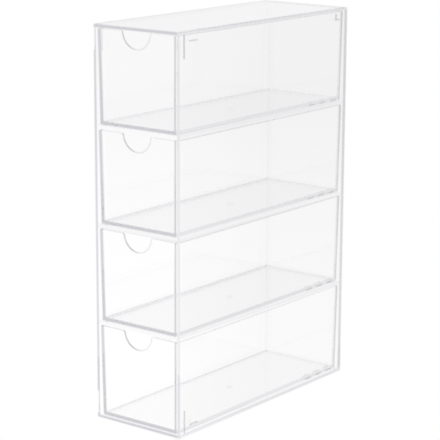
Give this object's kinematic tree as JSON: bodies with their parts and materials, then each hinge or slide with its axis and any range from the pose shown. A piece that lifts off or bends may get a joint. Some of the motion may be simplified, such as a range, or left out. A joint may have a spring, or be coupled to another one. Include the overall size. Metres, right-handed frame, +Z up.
{
  "type": "sunglasses organizer",
  "caption": "Clear acrylic tower case with stacked pull-out drawers, each an open-topped tray with a finger notch, for folded sunglasses or small vanity items.",
  "frame": {"origin": "middle of the case's underside, on the surface that it stands on", "axes": "+X across the width, to the right as seen from the front; the drawers open towards -Y; +Z up"},
  "size_m": [0.067, 0.175, 0.25],
  "materials": {
    "case_acrylic": "clear cast acrylic, polished faces and edges",
    "drawer_acrylic": "clear moulded acrylic, glossy, with a frosted gate mark under the floor"
  },
  "bodies": {
    "case": {"left_side_panel": "case_acrylic", "right_side_panel": "case_acrylic", "top_panel": "case_acrylic", "bottom_panel": "case_acrylic", "rear_panel": "case_acrylic", "upper_shelf": "case_acrylic", "middle_shelf": "case_acrylic", "lower_shelf": "case_acrylic"},
    "top_drawer": {"top_drawer": "drawer_acrylic"},
    "second_drawer": {"second_drawer": "drawer_acrylic"},
    "third_drawer": {"third_drawer": "drawer_acrylic"},
    "bottom_drawer": {"bottom_drawer": "drawer_acrylic"}
  },
  "joints": [
    {"name": "top_drawer_slide", "type": "slide", "parent": "case", "child": "top_drawer", "axis": [0, -1, 0], "range_m": [0, 0.15]},
    {"name": "second_drawer_slide", "type": "slide", "parent": "case", "child": "second_drawer", "axis": [0, -1, 0], "range_m": [0, 0.15]},
    {"name": "third_drawer_slide", "type": "slide", "parent": "case", "child": "third_drawer", "axis": [0, -1, 0], "range_m": [0, 0.15]},
    {"name": "bottom_drawer_slide", "type": "slide", "parent": "case", "child": "bottom_drawer", "axis": [0, -1, 0], "range_m": [0, 0.15]}
  ]
}
